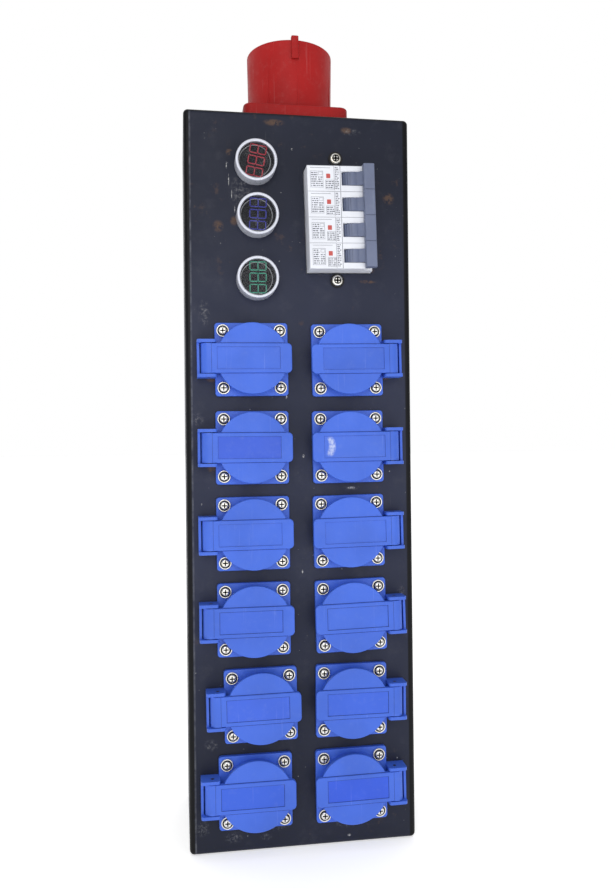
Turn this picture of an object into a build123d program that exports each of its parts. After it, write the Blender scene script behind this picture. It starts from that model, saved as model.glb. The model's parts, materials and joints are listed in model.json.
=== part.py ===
from build123d import *

import os
from math import cos, radians, sin

# Portable power distribution box: a folded steel box with a three-phase inlet on top, three round
# panel meters, four circuit breakers and two columns of six panel sockets with spring lids.
#
# Frame: origin at the centre of the box's bottom face, +X to the right, +Y to the back (the panel
# faces -Y), +Z up. Millimetres. Each physical piece, or group of equal small pieces, is one STEP.

# ---------------------------------------------------------------- driving dimensions
BOX_W, BOX_D, BOX_H = 158.0, 100.0, 508.0
SHEET = 1.5
BEND_R = 3.0
LIP = 12.0
END_RIM = 3.2
COVER_GAP = 0.3
COVER_HOLE_R = 2.2
FRONT_Y = -BOX_D / 2

SOCKET_COLUMNS = {"left": -34.1, "right": 32.6}
SOCKET_LOWEST_Z, SOCKET_PITCH, TOP_ROW_EXTRA = 41.8, 58.6, 1.7
SOCKET_TURNS = {"left": (0.5, 0.0, 0.3, 0.0, 0.6, 0.1), "right": (0.9, 0.6, 0.9, 1.2, -0.2, 0.6)}
SOCKET_SHIFTS = {("left", 5): 4.1, ("right", 4): 0.9, ("right", 5): 0.5}

FLANGE = 50.0
FLANGE_T = 3.0
WELL_R, WELL_DEPTH = 19.5, 17.5
COLLAR_R, COLLAR_H = 22.5, 9.0
SOCKET_BODY_R, SOCKET_BODY_DEPTH = 21.5, 35.0
SOCKET_HOLE_R = 22.0
SCREW_SPACING, SCREW_HOLE_R = 39.0, 2.1
CONTACT_PITCH = 19.0
CONTACT_R, CONTACT_BORE_R, CONTACT_HOLE_R = 3.4, 2.45, 2.6
EARTH_ARM_U0, EARTH_ARM_U1, EARTH_ARM_HALF = 19.6, 20.4, 2.2
EARTH_SLOT_GAP, EARTH_SLOT_HALF, EARTH_SLOT_TOP = 0.06, 2.4, 6.0

PIN_U, PIN_H, PIN_R = 29.5, 7.85, 1.25
PIN_CLEARANCE = 0.05
BARREL_R = 5.25
BRACKET_END_U = 37.2
BRACKET_INNER_V, BRACKET_WALL = 10.5, 2.15
BRACKET_WALL_H, BRACKET_END_H = 13.2, 9.0
LID_R, LID_UNDER_H, LID_DISC_H, LID_BAR_H = 24.1, 9.8, 12.3, 13.1
LID_BAR_V, LID_TAB_U = 10.0, -26.5

METER_X, METER_Z = (-30.2, -29.4, -29.7), (471.2, 434.8, 391.7)
METER_R, METER_RING, METER_H = 14.25, 1.95, 10.8
METER_BARREL_R, METER_HOLE_R = 11.0, 11.3

BREAKERS = 4
MODULE = 17.6
STACK_X, STACK_Z, STACK_LEAN = 27.0, 433.0, 1.35
NOSE_W, NOSE_H = 45.0, 14.0
BREAKER_W, BREAKER_SHOULDER_H, RAIL_H = 80.0, -2.6, -46.0
NOSE_STEP_X, NOSE_STEP_H = 16.4, 9.0
SLOT_X0, SLOT_X1, SLOT_HALF = 1.2, 17.8, 4.8
PIVOT_X, PIVOT_H, DRUM_R, TRUNNION_R = 9.0, 6.4, 8.3, 1.5
BAR_X0, BAR_X1, BAR_H0, BAR_H1 = 6.5, 14.1, 7.9, 13.8
RAIL_LENGTH, RAIL_W, RAIL_INNER_W, RAIL_T, RAIL_DEPTH = 99.0, 35.0, 27.0, 1.0, 7.5
RAIL_SCREWS = ((0.0, 44.4), (-1.5, -40.8))

INLET_X, INLET_Y = 1.0, 0.0
GASKET_T = 1.0
INLET_FLANGE, INLET_FLANGE_T = 75.0, 11.0
SHROUD_BASE_R, SHROUD_RIM_R, SHROUD_WALL, SHROUD_TOP = 30.9, 31.7, 3.0, 61.0
CARRIER_R, CARRIER_FACE, INLET_REAR_DEPTH = 26.4, 14.0, 22.0
INLET_PIN_PCD, INLET_PIN_R, INLET_EARTH_R, INLET_PIN_TIP = 33.0, 2.5, 3.0, 52.0
INLET_SCREW_SPACING, INLET_SCREW_HOLE_R = 60.0, 2.6
SHELL_INLET_R = 29.0


# ---------------------------------------------------------------- places
def front_place(x, z, turn=0.0, x_sign=1):
    """A local frame on the panel: local z points out of the panel, turn is counter-clockwise as
    seen from the front, and local x points right, or left where x_sign is -1."""
    c, s = cos(radians(turn)), sin(radians(turn))
    plane = Plane(origin=(x, FRONT_Y, z), x_dir=(x_sign * c, 0, x_sign * s), z_dir=(0, -1, 0))
    return plane.location


def socket_places():
    """Name and place of each socket; local x points to its hinge, rows count from the top."""
    places = {}
    for side, column_x in SOCKET_COLUMNS.items():
        for row in range(1, 7):
            z = SOCKET_LOWEST_Z + (6 - row) * SOCKET_PITCH + (TOP_ROW_EXTRA if row == 1 else 0)
            x = column_x + SOCKET_SHIFTS.get((side, row), 0.0)
            turn = SOCKET_TURNS[side][row - 1]
            places[f"{side}_{row}"] = front_place(x, z, turn, -1 if side == "left" else 1)
    return places


SOCKETS = socket_places()
METERS = [front_place(x, z) for x, z in zip(METER_X, METER_Z)]
STACK = front_place(STACK_X, STACK_Z, STACK_LEAN)
MODULES = [STACK * Location((0, (1.5 - i) * MODULE, 0)) for i in range(BREAKERS)]
CORNERS = [(sx, sy) for sx in (-1, 1) for sy in (-1, 1)]
INLET = Location((INLET_X, INLET_Y, BOX_H))


# ---------------------------------------------------------------- small helpers
def block(x0, x1, y0, y1, z0, z1):
    """A box between two corners."""
    return Location(((x0 + x1) / 2, (y0 + y1) / 2, (z0 + z1) / 2)) * Box(x1 - x0, y1 - y0, z1 - z0)


def rod(radius, z0, z1, x=0.0, y=0.0):
    """A cylinder along local z."""
    return Location((x, y, (z0 + z1) / 2)) * Cylinder(radius, z1 - z0)


def rod_along_y(radius, y0, y1, x, z):
    return Location((x, (y0 + y1) / 2, z)) * (Rotation(90, 0, 0) * Cylinder(radius, y1 - y0))


def tube(outer, inner, z0, z1, x=0.0, y=0.0):
    return rod(outer, z0, z1, x, y) - rod(inner, z0 - 1, z1 + 1, x, y)


def rounded_plate(width, height, radius, z0, z1):
    return extrude(Pos(0, 0, z0) * RectangleRounded(width, height, radius), z1 - z0)


def pan_screw(head_r, head_h, shank_r, shank_length):
    """A cross-recess screw: its seat is at z 0, its head above, its shank below."""
    head = rod(head_r, 0, head_h)
    head = fillet(head.edges().filter_by(GeomType.CIRCLE).sort_by(Axis.Z)[-1], head_h * 0.55)
    arm, slot, depth = head_r * 0.62, head_r * 0.13, head_h * 0.55
    head -= block(-arm, arm, -slot, slot, head_h - depth, head_h + 1)
    head -= block(-slot, slot, -arm, arm, head_h - depth, head_h + 1)
    return head + rod(shank_r, -shank_length, 0.2)


def hex_nut(across_flats, hole_r, z0, z1):
    nut = extrude(Pos(0, 0, z0) * RegularPolygon(across_flats / 2, 6, major_radius=False), z1 - z0)
    return nut - rod(hole_r, z0 - 1, z1 + 1)


def save(name, shape):
    """One STEP per node; a list of equal pieces becomes one group of separate solids."""
    if isinstance(shape, (list, tuple)):
        shape = Compound(children=[solid for piece in shape for solid in piece.solids()])
    shape.label = name
    export_step(shape, f"parts/{name}.step")


# ---------------------------------------------------------------- enclosure
def folded_tray():
    """The box without its rear cover: front panel, sides, top and bottom, with lips at the back."""
    outer = block(-BOX_W / 2, BOX_W / 2, -BOX_D / 2, BOX_D / 2, 0, BOX_H)
    outer = fillet(outer.edges().filter_by(Axis.Y), BEND_R + 0.2)
    outer = fillet(outer.faces().sort_by(Axis.Y)[0].edges(), BEND_R)
    half_w, inner_r = BOX_W / 2 - SHEET, BEND_R - SHEET
    inner = block(-half_w, half_w, FRONT_Y + SHEET, BOX_D / 2 + 1, SHEET, BOX_H - SHEET)
    inner = fillet(inner.edges().filter_by(Axis.Y), inner_r + 0.2)
    inner = fillet(inner.faces().sort_by(Axis.Y)[0].edges(), inner_r)
    lip_y = BOX_D / 2 - SHEET
    frame = block(-half_w, half_w, lip_y - SHEET, lip_y, SHEET, BOX_H - SHEET)
    frame -= block(-half_w + LIP, half_w - LIP, lip_y - 3, lip_y + 1, SHEET + LIP, BOX_H - SHEET - LIP)
    hole = Rotation(90, 0, 0) * Cylinder(2.0, 12)
    return (outer - inner + frame) - [Pos(x, BOX_D / 2, z) * hole for x, z in cover_points()]


def end_region(z0, z1, lip_z0, lip_z1):
    """The space that an end plate takes of the tray: all of one end, and the lip at its back."""
    end = block(-BOX_W, BOX_W, -BOX_D, BOX_D, z0, z1)
    lip_half = BOX_W / 2 - SHEET - LIP
    lip_y = BOX_D / 2 - SHEET
    return end + block(-lip_half, lip_half, lip_y - SHEET, lip_y, lip_z0, lip_z1)


def top_region():
    return end_region(BOX_H - END_RIM, BOX_H + 1, BOX_H - SHEET - LIP, BOX_H)


def bottom_region():
    return end_region(-1, END_RIM, 0, SHEET + LIP)


def front_shell(tray):
    """The folded front panel and sides, between the two welded end plates."""
    shell = tray - top_region() - bottom_region()
    shell -= [place * rod(SOCKET_HOLE_R, -5, 5) for place in SOCKETS.values()]
    half = SCREW_SPACING / 2
    for place in SOCKETS.values():
        shell -= [place * rod(SCREW_HOLE_R, -5, 5, sx * half, sy * half) for sx, sy in CORNERS]
    shell -= [place * rod(METER_HOLE_R, -5, 5) for place in METERS]
    stack_half = BREAKERS * MODULE / 2 + 0.6
    nose_half = NOSE_W / 2 + 0.5
    shell -= STACK * block(-nose_half, nose_half, -stack_half, stack_half, -5, 5)
    return shell - [STACK * rod(SCREW_HOLE_R, -5, 5, x, y) for x, y in RAIL_SCREWS]


def top_plate(tray):
    """The upper end plate, with the inlet's hole and its four screw holes."""
    half = INLET_SCREW_SPACING / 2
    plate = (tray & top_region()) - INLET * rod(SHELL_INLET_R, -5, 5)
    return plate - [INLET * rod(INLET_SCREW_HOLE_R, -5, 5, sx * half, sy * half) for sx, sy in CORNERS]


def bottom_plate(tray):
    return tray & bottom_region()


def cover_points():
    edge_x = BOX_W / 2 - SHEET - LIP / 2
    edge_z = SHEET + LIP / 2
    rows = (edge_z + 14, BOX_H / 2, BOX_H - edge_z - 14)
    return [(sx * edge_x, z) for sx in (-1, 1) for z in rows] + [(0, edge_z), (0, BOX_H - edge_z)]


def rear_cover():
    half_w = BOX_W / 2 - SHEET - COVER_GAP
    low_z, high_z = SHEET + COVER_GAP, BOX_H - SHEET - COVER_GAP
    cover = block(-half_w, half_w, BOX_D / 2 - SHEET, BOX_D / 2, low_z, high_z)
    cover = fillet(cover.edges().filter_by(Axis.Y), 2.0)
    hole = Rotation(90, 0, 0) * Cylinder(COVER_HOLE_R, 12)
    return cover - [Pos(x, BOX_D / 2, z) * hole for x, z in cover_points()]


def rear_cover_screws():
    screw = pan_screw(3.8, 2.4, 1.95, 9)
    return [Pos(x, BOX_D / 2, z) * (Rotation(-90, 0, 0) * screw) for x, z in cover_points()]


# ---------------------------------------------------------------- sockets
def socket_base():
    """Flange, raised collar, well, rear body and hinge bracket, moulded in one."""
    flange = rounded_plate(FLANGE, FLANGE, 2.2, 0, FLANGE_T)
    flange = fillet(flange.faces().sort_by(Axis.Z)[-1].edges(), 0.5)
    floor = block(18, BRACKET_END_U, -BRACKET_INNER_V - 1, BRACKET_INNER_V + 1, 0, 1.5)
    walls = []
    for side in (-1, 1):
        inner, outer = side * BRACKET_INNER_V, side * (BRACKET_INNER_V + BRACKET_WALL)
        wall = block(24.4, BRACKET_END_U, min(inner, outer), max(inner, outer), 0, BRACKET_WALL_H)
        top = wall.edges().filter_by(Axis.Y).group_by(Axis.Z)[-1]
        walls.append(fillet(top, 2.0))
    end = BRACKET_INNER_V + BRACKET_WALL
    end_wall = block(BRACKET_END_U - 1.6, BRACKET_END_U, -end, end, 0, BRACKET_END_H)
    base = flange + floor + walls[0] + walls[1] + end_wall
    collar = rod(COLLAR_R, 0, COLLAR_H)
    base += fillet(collar.edges().filter_by(GeomType.CIRCLE).sort_by(Axis.Z)[-1], 0.5)
    base += rod(SOCKET_BODY_R, -SOCKET_BODY_DEPTH, 0.5)
    well = rod(WELL_R, COLLAR_H - WELL_DEPTH, COLLAR_H + 1)
    base -= well
    floor_z = COLLAR_H - WELL_DEPTH
    for side in (-1, 1):
        base -= rod(CONTACT_HOLE_R, floor_z - 5, floor_z + 1, 0, side * CONTACT_PITCH / 2)
        base -= rod(CONTACT_R + 0.1, -SOCKET_BODY_DEPTH - 1, floor_z - 2, 0, side * CONTACT_PITCH / 2)
        near, far = EARTH_ARM_U0 - EARTH_SLOT_GAP, EARTH_ARM_U1 + EARTH_SLOT_GAP
        for inner, low, high in ((near, -SOCKET_BODY_DEPTH - 1, floor_z), (near - 1, floor_z, EARTH_SLOT_TOP)):
            u0, u1 = sorted((side * inner, side * far))
            base -= block(u0, u1, -EARTH_SLOT_HALF, EARTH_SLOT_HALF, low, high)
        pin_wall = (side * (BRACKET_INNER_V - 1), side * (end + 1))
        base -= rod_along_y(PIN_R, min(pin_wall), max(pin_wall), PIN_U, PIN_H)
    half = SCREW_SPACING / 2
    base -= [rod(SCREW_HOLE_R, -1, FLANGE_T + 1, sx * half, sy * half) for sx, sy in CORNERS]
    return base


def socket_lid():
    """Round lid with a raised grip bar, shallow label recess and hinge barrel."""
    disc = rod(LID_R, LID_UNDER_H, LID_DISC_H)
    disc = fillet(disc.edges().filter_by(GeomType.CIRCLE).sort_by(Axis.Z)[-1], 0.6)
    bar = block(LID_TAB_U, PIN_U, -LID_BAR_V, LID_BAR_V, LID_UNDER_H, LID_BAR_H)
    tab_corners = bar.edges().filter_by(Axis.Z).group_by(Axis.X)[0]
    bar = fillet(tab_corners, 3.0)
    bar = fillet(bar.faces().sort_by(Axis.Z)[-1].edges().group_by(Axis.X)[0], 0.6)
    lid = disc + bar + rod_along_y(BARREL_R, -LID_BAR_V, LID_BAR_V, PIN_U, PIN_H)
    lid -= block(-18.6, 24.0, -7.5, 7.5, LID_BAR_H - 0.4, LID_BAR_H + 1)
    lid -= rod_along_y(PIN_R + PIN_CLEARANCE, -LID_BAR_V - 1, LID_BAR_V + 1, PIN_U, PIN_H)
    lid -= rod_along_y(3.4, -4, 4, PIN_U, PIN_H)
    lid -= block(PIN_U - 3.4, PIN_U + 4.2, -4, 4, 0, PIN_H)
    lid -= block(PIN_U - BARREL_R - 1, PIN_U, -4, 4, 0, PIN_H - 1.2)
    return lid


def socket_seal():
    return tube(22.0, 20.3, COLLAR_H, COLLAR_H + 0.45)


def hinge_pin():
    end = BRACKET_INNER_V + BRACKET_WALL
    return rod_along_y(PIN_R, -end, end, PIN_U, PIN_H)


def lid_spring():
    """The closing spring's coil, drawn as its envelope, with the leg that rests on the collar."""
    coil = rod_along_y(2.5, -3.4, 3.4, PIN_U, PIN_H) - rod_along_y(1.5, -5, 5, PIN_U, PIN_H)
    leg = Location(((COLLAR_R + PIN_U) / 2, 0, PIN_H - 2.15)) * (
        Rotation(0, 90, 0) * Cylinder(0.35, PIN_U - COLLAR_R)
    )
    return coil + leg


def socket_contacts():
    """The two sprung contact tubes, each with its screw terminal behind the body."""
    pieces = []
    for side in (-1, 1):
        y = side * CONTACT_PITCH / 2
        top = COLLAR_H - WELL_DEPTH - 2.1
        contact = tube(CONTACT_R, CONTACT_BORE_R, -SOCKET_BODY_DEPTH + 1, top, 0, y)
        slit_y0, slit_y1 = sorted((y, y + side * 5))
        contact -= block(-0.4, 0.4, slit_y0, slit_y1, top - 14, top + 1)
        terminal = block(-3.3, 3.3, y - 3.3, y + 3.3, -SOCKET_BODY_DEPTH - 6, -SOCKET_BODY_DEPTH + 1.5)
        terminal = terminal & rod(CONTACT_R, -60, 0, 0, y)
        terminal -= Location((0, y, -SOCKET_BODY_DEPTH - 3)) * (Rotation(0, 90, 0) * Cylinder(1.6, 20))
        pieces.append(contact + terminal)
    return pieces


def socket_earth_clip():
    """Two earth springs at the edge of the well, joined by a strap behind the body."""
    strap_z = -SOCKET_BODY_DEPTH - 0.9
    half = EARTH_ARM_HALF
    clip = block(-EARTH_ARM_U1, EARTH_ARM_U1, -half, half, strap_z, strap_z + 0.8)
    for side in (-1, 1):
        u0, u1 = sorted((side * EARTH_ARM_U0, side * EARTH_ARM_U1))
        clip += block(u0, u1, -half, half, strap_z, EARTH_SLOT_TOP - 0.6)
        bump = rod_along_y(1.5, -half, half, side * (EARTH_ARM_U0 - 0.1), 1.0)
        u0, u1 = sorted((side * (EARTH_ARM_U0 - 2.1), side * EARTH_ARM_U1))
        clip += bump & block(u0, u1, -half - 1, half + 1, -2, 4)
    return clip


def at_corners(piece):
    half = SCREW_SPACING / 2
    return [Location((sx * half, sy * half, 0)) * piece for sx, sy in CORNERS]


def cup_washer():
    """A plated cup washer: a rim round the screw head, on a thin base."""
    base = tube(4.3, 2.1, FLANGE_T, FLANGE_T + 0.5)
    rim = tube(4.3, 3.45, FLANGE_T, FLANGE_T + 1.5)
    edge = rim.edges().filter_by(GeomType.CIRCLE).group_by(Axis.Z)[-1]
    return base + fillet(edge, 0.35)


# ---------------------------------------------------------------- meters
def meter_bezel():
    ring = tube(METER_R, METER_R - METER_RING, 0, METER_H)
    return fillet(ring.edges().filter_by(GeomType.CIRCLE).group_by(Axis.Z)[-1], 0.7)


def meter_housing():
    inner = METER_R - METER_RING
    return rod(inner, 0, 7.4) + rod(METER_BARREL_R, -30, 0) + block(-4, 4, -9, 9, -38, -30)


def meter_lens():
    return rod(METER_R - METER_RING, 8.5, 10.0)


def meter_display():
    return block(-6.4, 6.4, -10.2, 10.2, 7.4, 8.4)


def meter_nut():
    nut = tube(14.0, METER_BARREL_R, -SHEET - 6, -SHEET)
    return nut - [
        Rotation(0, 0, 60 * i) * block(13.0, 16, -1.2, 1.2, -SHEET - 7, -SHEET + 1) for i in range(6)
    ]


# ---------------------------------------------------------------- breakers
def breaker_case():
    """One module: nose through the panel, shoulders behind it, rail seat at the back."""
    half = MODULE / 2
    low = block(-BREAKER_W / 2, BREAKER_W / 2, -half, half, RAIL_H, BREAKER_SHOULDER_H)
    nose = block(-NOSE_W / 2, NOSE_STEP_X, -half, half, BREAKER_SHOULDER_H - 5, NOSE_H)
    nose = fillet(nose.edges().filter_by(Axis.Y).group_by(Axis.Z)[-1], 0.8)
    step = block(NOSE_STEP_X - 2, NOSE_W / 2, -half, half, BREAKER_SHOULDER_H - 5, NOSE_STEP_H)
    step = chamfer(step.edges().filter_by(Axis.Y).group_by(Axis.Z)[-1].sort_by(Axis.X)[-1], 3.0)
    case = low + nose + step
    case -= block(SLOT_X0, SLOT_X1, -SLOT_HALF, SLOT_HALF, PIVOT_H - 9.2, NOSE_H + 1)
    case -= block(SLOT_X0 - 1.0, PIVOT_X, -SLOT_HALF, SLOT_HALF, PIVOT_H - 9.2, PIVOT_H + 5)
    case -= rod_along_y(TRUNNION_R + PIN_CLEARANCE, -half + 1.5, half - 1.5, PIVOT_X, PIVOT_H)
    rail_half = RAIL_W / 2 + 0.4
    case -= block(-rail_half, rail_half, -half - 1, half + 1, RAIL_H - 1, RAIL_H + 1.4)
    for side in (-1, 1):
        x = side * (BREAKER_W / 2 - 6)
        case -= rod(2.6, BREAKER_SHOULDER_H - 12, BREAKER_SHOULDER_H + 1, x, 0)
        x0, x1 = sorted((side * (BREAKER_W / 2 - 10), side * (BREAKER_W / 2 + 1)))
        case -= block(x0, x1, -4, 4, -30, -20)
    return case


def breaker_toggle():
    """Rocker: drum in the slot, trunnions in the side walls and a bar as wide as the module."""
    drum = rod_along_y(DRUM_R, -4.5, 4.5, PIVOT_X, PIVOT_H)
    width = MODULE / 2 - 0.15
    bar = block(
        PIVOT_X + BAR_X0, PIVOT_X + BAR_X1, -width, width, PIVOT_H + BAR_H0, PIVOT_H + BAR_H1
    )
    bar = fillet(bar.edges().filter_by(Axis.Y), 1.0)
    with BuildPart() as arm:
        with BuildSketch(Plane.XZ):
            with BuildLine():
                Polyline(
                    (PIVOT_X + 2.0, PIVOT_H + 6.0),
                    (PIVOT_X + 2.5, PIVOT_H + 7.8),
                    (PIVOT_X + BAR_X0 + 1.5, PIVOT_H + BAR_H1 - 2.8),
                    (PIVOT_X + BAR_X1 - 1.5, PIVOT_H + BAR_H0 + 1.0),
                    (PIVOT_X + 6.0, PIVOT_H + 2.0),
                    close=True,
                )
            make_face()
        extrude(amount=4.5, both=True)
    trunnions = rod_along_y(TRUNNION_R, -MODULE / 2 + 1.7, MODULE / 2 - 1.7, PIVOT_X, PIVOT_H)
    toggle = drum + arm.part + bar + trunnions
    for angle in (104, 116, 128, 140, 152):
        groove = Rotation(0, -angle, 0) * block(DRUM_R - 0.5, DRUM_R + 1, -5, 5, -0.35, 0.35)
        toggle -= Location((PIVOT_X, 0, PIVOT_H)) * groove
    return toggle


def din_rail():
    """Top-hat rail behind the modules, with a spacer to the panel welded on at each screw."""
    outer_half, inner_half, half = RAIL_W / 2, RAIL_INNER_W / 2, RAIL_LENGTH / 2
    top = RAIL_H + 1.3
    floor = top - RAIL_DEPTH
    rail = block(-inner_half, inner_half, -half, half, floor, floor + RAIL_T)
    for side in (-1, 1):
        x0, x1 = sorted((side * (inner_half - RAIL_T), side * outer_half))
        rail += block(x0, x1, -half, half, top - RAIL_T, top)
        x0, x1 = sorted((side * (inner_half - RAIL_T), side * inner_half))
        rail += block(x0, x1, -half, half, floor, top)
    for x, y in RAIL_SCREWS:
        rail += rod(4.5, floor, -SHEET, x, y)
        rail -= rod(2.2, floor - 5, 0, x, y)
    return STACK * rail


def din_rail_screws():
    screw = pan_screw(3.9, 2.5, 1.95, 62)
    return [STACK * Location((x, y, 0)) * screw for x, y in RAIL_SCREWS]


def comb_busbar():
    """Copper bar beside the modules' lower terminals, with one tooth into each."""
    length = BREAKERS * MODULE
    x = -BREAKER_W / 2
    bar = block(x - 5, x - 3, -length / 2 + 2, length / 2 - 2, -31, -19)
    for i in range(BREAKERS):
        y = (1.5 - i) * MODULE
        bar += block(x - 3.5, x + 8, y - 2, y + 2, -26, -24)
    return STACK * bar


# ---------------------------------------------------------------- inlet
def inlet_housing():
    """Red three-phase inlet: square flange, flared shroud with key rib, and rear body."""
    z0, z1 = GASKET_T, GASKET_T + INLET_FLANGE_T
    flange = rounded_plate(INLET_FLANGE, INLET_FLANGE, 6.0, z0, z1)
    flange = fillet(flange.faces().sort_by(Axis.Z)[-1].edges(), 1.6)
    shroud_z = (z1 - 1 + SHROUD_TOP) / 2
    shroud = Pos(0, 0, shroud_z) * Cone(SHROUD_BASE_R, SHROUD_RIM_R, SHROUD_TOP - z1 + 1)
    shroud = fillet(shroud.edges().filter_by(GeomType.CIRCLE).sort_by(Axis.Z)[-1], 1.0)
    key = block(-2.6, 2.6, -SHROUD_RIM_R - 2.0, -SHROUD_RIM_R + 2, SHROUD_TOP - 14, SHROUD_TOP + 2)
    key = fillet(key.edges().filter_by(Axis.Z).group_by(Axis.Y)[0], 1.2)
    rear = rod(28.5, -INLET_REAR_DEPTH, z0 + 1)
    body = flange + shroud + key + rear
    for azimuth in (-127, -86, -27):
        rib = block(SHROUD_BASE_R - 1, SHROUD_BASE_R + 0.55, -0.5, 0.5, z1 - 1, SHROUD_TOP - 15)
        body += Rotation(0, 0, azimuth) * rib
    inner_r = SHROUD_RIM_R - SHROUD_WALL
    body -= rod(inner_r, CARRIER_FACE - 8, SHROUD_TOP + 5)
    body -= rod(CARRIER_R + 0.1, -INLET_REAR_DEPTH - 1, CARRIER_FACE)
    body -= block(-1.6, 1.6, -inner_r - 1.6, -inner_r + 1, CARRIER_FACE, SHROUD_TOP + 5)
    half = INLET_SCREW_SPACING / 2
    for sx, sy in CORNERS:
        body -= rod(INLET_SCREW_HOLE_R, -1, z1 + 1, sx * half, sy * half)
        body -= rod(4.6, z1 - 4, z1 + 1, sx * half, sy * half)
    return INLET * body


def inlet_gasket():
    gasket = rounded_plate(INLET_FLANGE - 1, INLET_FLANGE - 1, 5.5, 0, GASKET_T) - rod(28.9, -1, 3)
    half = INLET_SCREW_SPACING / 2
    return INLET * (gasket - [rod(INLET_SCREW_HOLE_R, -1, 3, sx * half, sy * half) for sx, sy in CORNERS])


def inlet_pin_places():
    """Five pins on one circle; the thicker earth pin stands by the key, and is the longest."""
    r = INLET_PIN_PCD / 2
    return [(r * cos(radians(a)), r * sin(radians(a)), a == -90) for a in (-90, -18, 54, 126, 198)]


def inlet_contact_carrier():
    neck_r, step_z = SHROUD_RIM_R - SHROUD_WALL - 0.2, CARRIER_FACE - 8
    carrier = rod(CARRIER_R, 4 - INLET_REAR_DEPTH, step_z) + rod(neck_r, step_z, CARRIER_FACE)
    for x, y, earth in inlet_pin_places():
        carrier -= rod(INLET_EARTH_R if earth else INLET_PIN_R, -40, 40, x, y)
    return INLET * carrier


def inlet_pins():
    pins = []
    for x, y, earth in inlet_pin_places():
        radius = INLET_EARTH_R if earth else INLET_PIN_R
        pin = rod(radius, 1 - INLET_REAR_DEPTH, INLET_PIN_TIP + (1.5 if earth else 0), x, y)
        tip = pin.edges().filter_by(GeomType.CIRCLE).sort_by(Axis.Z)[-1]
        pins.append(INLET * fillet(tip, radius * 0.6))
    return pins


def inlet_screws():
    half = INLET_SCREW_SPACING / 2
    screw = pan_screw(4.2, 2.8, 2.3, 19)
    seat = GASKET_T + INLET_FLANGE_T - 4
    return [INLET * Location((sx * half, sy * half, seat)) * screw for sx, sy in CORNERS]


# ---------------------------------------------------------------- wiring inside
def internal_wiring():
    """The main harness between the columns, one lead to each socket, and the inlet's leads."""
    trunk_x, trunk_y, trunk_r = -1.0, 22.0, 6.0
    low = SOCKET_LOWEST_Z
    high = SOCKET_LOWEST_Z + 5 * SOCKET_PITCH + TOP_ROW_EXTRA
    wiring = rod(trunk_r, low - 6, high + 30, trunk_x, trunk_y)
    lead_y = FRONT_Y + SOCKET_BODY_DEPTH + 8.5
    for place in SOCKETS.values():
        x, z = place.position.X, place.position.Z
        path = FilletPolyline((trunk_x, trunk_y, z), (x, trunk_y, z), (x, lead_y, z), radius=12)
        profile = Plane(origin=path @ 0, z_dir=path % 0) * Circle(2.6)
        wiring += sweep(profile, path)
    leads = []
    for x, y in ((-40, 30), (-33, 33), (-26, 30)):
        leads.append(rod(2.2, high + 45, BOX_H - INLET_REAR_DEPTH - 8, x, y))
    return [wiring] + leads


def earth_terminal_bar():
    """Brass bar with ten clamp screws on the right wall, low down in the box."""
    x1 = BOX_W / 2 - SHEET
    bar = block(x1 - 9, x1, 24, 32, 60, 150)
    bar -= [Pos(x1 - 5, 28, 66 + 8.6 * i) * (Rotation(90, 0, 0) * Cylinder(2.0, 20)) for i in range(10)]
    return bar


# ---------------------------------------------------------------- write the nodes
def main():
    os.makedirs("parts", exist_ok=True)
    tray = folded_tray()
    save("front_shell", front_shell(tray))
    save("top_plate", top_plate(tray))
    save("bottom_plate", bottom_plate(tray))
    save("rear_cover", rear_cover())
    save("rear_cover_screws", rear_cover_screws())

    base, lid = socket_base(), socket_lid()
    for name, place in SOCKETS.items():
        save(f"socket_base_{name}", place * base)
        save(f"socket_lid_{name}", place * lid)
    screw_piece = pan_screw(2.75, 1.9, 1.95, 11.5)
    screws = at_corners(Pos(0, 0, FLANGE_T + 0.5) * screw_piece)
    washers = at_corners(cup_washer())
    nuts = at_corners(hex_nut(7.0, 2.0, -SHEET - 3.2, -SHEET))
    places = list(SOCKETS.values())
    save("socket_screws", [place * piece for place in places for piece in screws])
    save("socket_washers", [place * piece for place in places for piece in washers])
    save("socket_nuts", [place * piece for place in places for piece in nuts])
    save("socket_seals", [place * socket_seal() for place in places])
    save("lid_hinge_pins", [place * hinge_pin() for place in places])
    save("lid_springs", [place * lid_spring() for place in places])
    contacts = socket_contacts()
    save("socket_contacts", [place * piece for place in places for piece in contacts])
    save("socket_earth_clips", [place * socket_earth_clip() for place in places])

    save("meter_bezels", [place * meter_bezel() for place in METERS])
    save("meter_housings", [place * meter_housing() for place in METERS])
    save("meter_lenses", [place * meter_lens() for place in METERS])
    save("meter_displays", [place * meter_display() for place in METERS])
    save("meter_nuts", [place * meter_nut() for place in METERS])

    case, toggle = breaker_case(), breaker_toggle()
    for number, place in enumerate(MODULES, start=1):
        save(f"breaker_case_{number}", place * case)
        save(f"breaker_toggle_{number}", place * toggle)
    save("din_rail", din_rail())
    save("din_rail_screws", din_rail_screws())
    save("comb_busbar", comb_busbar())

    save("inlet_housing", inlet_housing())
    save("inlet_gasket", inlet_gasket())
    save("inlet_contact_carrier", inlet_contact_carrier())
    save("inlet_pins", inlet_pins())
    save("inlet_screws", inlet_screws())
    save("internal_wiring", internal_wiring())
    save("earth_terminal_bar", earth_terminal_bar())


main()
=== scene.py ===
import json
import math

import bmesh
import bpy
from mathutils import Matrix, Vector


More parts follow.
